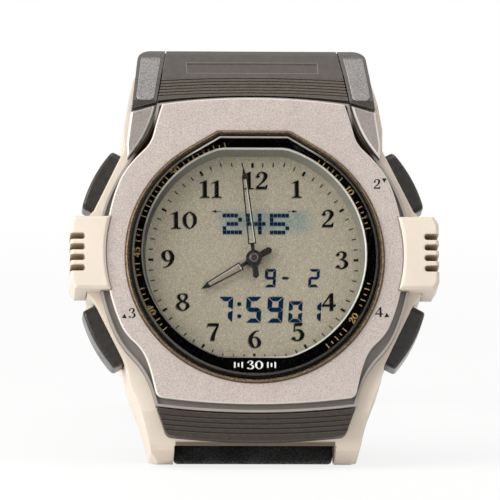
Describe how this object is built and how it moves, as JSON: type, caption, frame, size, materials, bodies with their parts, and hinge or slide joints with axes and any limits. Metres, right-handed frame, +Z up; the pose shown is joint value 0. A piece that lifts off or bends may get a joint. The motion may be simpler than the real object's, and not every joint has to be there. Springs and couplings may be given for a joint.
{
  "type": "ana digi watch",
  "caption": "Wristwatch with hands over a liquid crystal display, in an hourglass metal plate and cream case with push buttons, on an open leather strap with a buckle.",
  "frame": {"origin": "on the surface the open strap lies on, in the middle of the watch's width, 5 mm behind the lower spring bar", "axes": "+X towards 3 o'clock, +Y to the rear along the strap, +Z up; the dial faces -Y and leans back 18 degrees"},
  "size_m": [0.0418, 0.1188, 0.0465],
  "materials": {
    "case_plastic": "satin, cream",
    "steel": "brushed",
    "champagne_metal": "fine satin grain, clear coated",
    "dark_gloss": "dark metallic lacquer",
    "gold_metal": "polished, pale gold plating",
    "black_rubber": "matt",
    "crystal": "polished",
    "ring_black": "satin black",
    "display": "grey-green reflector behind clear glass",
    "backlight": "pale green film",
    "module_plastic": "moulded",
    "zebra_rubber": "striped elastomer",
    "board": "solder resist",
    "copper": "enamelled copper wire",
    "brass": "polished",
    "magnet": "sintered magnet",
    "ferrite": "ferrite",
    "hand_dark": "dark lacquer, pale fill",
    "button_dark": "dark satin",
    "black_leather": "grained"
  },
  "bodies": {
    "head": {"case_body": "case_plastic", "case_back": "steel", "case_back_gasket": "black_rubber", "case_back_screws": "steel", "face_plate": "champagne_metal", "crystal_rim": "gold_metal", "crystal_gasket": "black_rubber", "crystal": "crystal", "dial_ring": "ring_black", "display_panel": "display", "backlight_panel": "backlight", "module_frame": "module_plastic", "connector_strips": "zebra_rubber", "circuit_board": "board", "battery": "steel", "battery_clip": "steel", "stator": "steel", "motor_coil": "copper", "train_plate": "steel", "train_posts": "steel", "aerial_core": "ferrite", "aerial_coil": "copper", "aerial_cover": "dark_gloss", "corner_cap_left": "dark_gloss", "corner_cap_right": "dark_gloss", "shoulder_left": "champagne_metal", "shoulder_right": "champagne_metal", "ribbed_plate": "dark_gloss", "side_guard_left": "case_plastic", "side_guard_right": "case_plastic", "spring_bar_lower": "steel", "spring_bar_upper": "steel", "button_seals": "black_rubber"},
    "minute_hand": {"centre_wheel": "brass", "minute_hand": "hand_dark"},
    "hour_hand": {"hour_wheel": "brass", "hour_hand": "hand_dark"},
    "minute_wheel": {"minute_wheel": "brass"},
    "intermediate_wheel": {"intermediate_wheel": "brass"},
    "rotor": {"rotor": "magnet"},
    "button_upper_right": {"button_upper_right": "button_dark", "button_clip_upper_right": "steel", "button_spring_upper_right": "steel"},
    "button_upper_left": {"button_upper_left": "button_dark", "button_clip_upper_left": "steel", "button_spring_upper_left": "steel"},
    "button_lower_left": {"button_lower_left": "button_dark", "button_clip_lower_left": "steel", "button_spring_lower_left": "steel"},
    "button_lower_right": {"button_lower_right": "button_dark", "button_clip_lower_right": "steel", "button_spring_lower_right": "steel"},
    "strap_hole_half": {"strap_hole_half": "black_leather"},
    "strap_buckle_half": {"strap_buckle_half": "black_leather", "fixed_keeper": "black_leather"},
    "buckle": {"buckle_frame": "steel", "buckle_bar": "steel"},
    "buckle_tongue": {"buckle_tongue": "steel"},
    "free_keeper": {"free_keeper": "black_leather"}
  },
  "joints": [
    {"name": "minute_hand_turn", "type": "hinge", "parent": "head", "child": "minute_hand", "pos_m": [0, 0.00346, 0.02081], "axis": [0, 0.9511, -0.309], "continuous": true},
    {"name": "hour_hand_turn", "type": "hinge", "parent": "head", "child": "hour_hand", "pos_m": [0, 0.00346, 0.02081], "axis": [0, 0.9511, -0.309], "continuous": true},
    {"name": "minute_wheel_turn", "type": "hinge", "parent": "head", "child": "minute_wheel", "pos_m": [0.00144, 0.00269, 0.01844], "axis": [0, 0.9511, -0.309], "continuous": true},
    {"name": "intermediate_wheel_turn", "type": "hinge", "parent": "head", "child": "intermediate_wheel", "pos_m": [0, 0.00451, 0.02405], "axis": [0, 0.9511, -0.309], "continuous": true},
    {"name": "rotor_turn", "type": "hinge", "parent": "head", "child": "rotor", "pos_m": [0.00254, 0.00479, 0.02492], "axis": [0, 0.9511, -0.309], "continuous": true},
    {"name": "button_upper_right_push", "type": "slide", "parent": "head", "child": "button_upper_right", "axis": [-0.8838, -0.1446, -0.445], "range_m": [0, 0.0008], "stiffness_N_per_m": 1200, "springref_m": -0.0004, "deforming": ["button_spring_upper_right"]},
    {"name": "button_upper_left_push", "type": "slide", "parent": "head", "child": "button_upper_left", "axis": [0.8838, -0.1446, -0.445], "range_m": [0, 0.0008], "stiffness_N_per_m": 1200, "springref_m": -0.0004, "deforming": ["button_spring_upper_left"]},
    {"name": "button_lower_left_push", "type": "slide", "parent": "head", "child": "button_lower_left", "axis": [0.8838, 0.1446, 0.445], "range_m": [0, 0.0008], "stiffness_N_per_m": 1200, "springref_m": -0.0004, "deforming": ["button_spring_lower_left"]},
    {"name": "button_lower_right_push", "type": "slide", "parent": "head", "child": "button_lower_right", "axis": [-0.8838, 0.1446, 0.445], "range_m": [0, 0.0008], "stiffness_N_per_m": 1200, "springref_m": -0.0004, "deforming": ["button_spring_lower_right"]},
    {"name": "lower_strap_swing", "type": "hinge", "parent": "head", "child": "strap_hole_half", "pos_m": [0, -0.005, 0.0019], "axis": [-1, 0, 0], "range_deg": [0, 120]},
    {"name": "upper_strap_swing", "type": "hinge", "parent": "head", "child": "strap_buckle_half", "pos_m": [0, 0.00761, 0.0407], "axis": [1, 0, 0], "range_deg": [0, 70]},
    {"name": "buckle_swing", "type": "hinge", "parent": "strap_buckle_half", "child": "buckle", "pos_m": [0, 0.06673, 0.01313], "axis": [1, 0, 0], "range_deg": [-80, 90]},
    {"name": "tongue_swing", "type": "hinge", "parent": "buckle", "child": "buckle_tongue", "pos_m": [0, 0.06673, 0.01313], "axis": [1, 0, 0], "range_deg": [0, 110]},
    {"name": "free_keeper_slide", "type": "hinge", "parent": "strap_buckle_half", "child": "free_keeper", "pos_m": [0, 0.01888, -0.01231], "axis": [1, 0, 0], "range_deg": [-11, 11]}
  ],
  "couplings": [
    {"joint": "hour_hand_turn", "follows": "minute_hand_turn", "ratio": 0.083333},
    {"joint": "minute_wheel_turn", "follows": "minute_hand_turn", "ratio": -0.33333},
    {"joint": "intermediate_wheel_turn", "follows": "minute_hand_turn", "ratio": -7.5},
    {"joint": "rotor_turn", "follows": "minute_hand_turn", "ratio": 60}
  ]
}
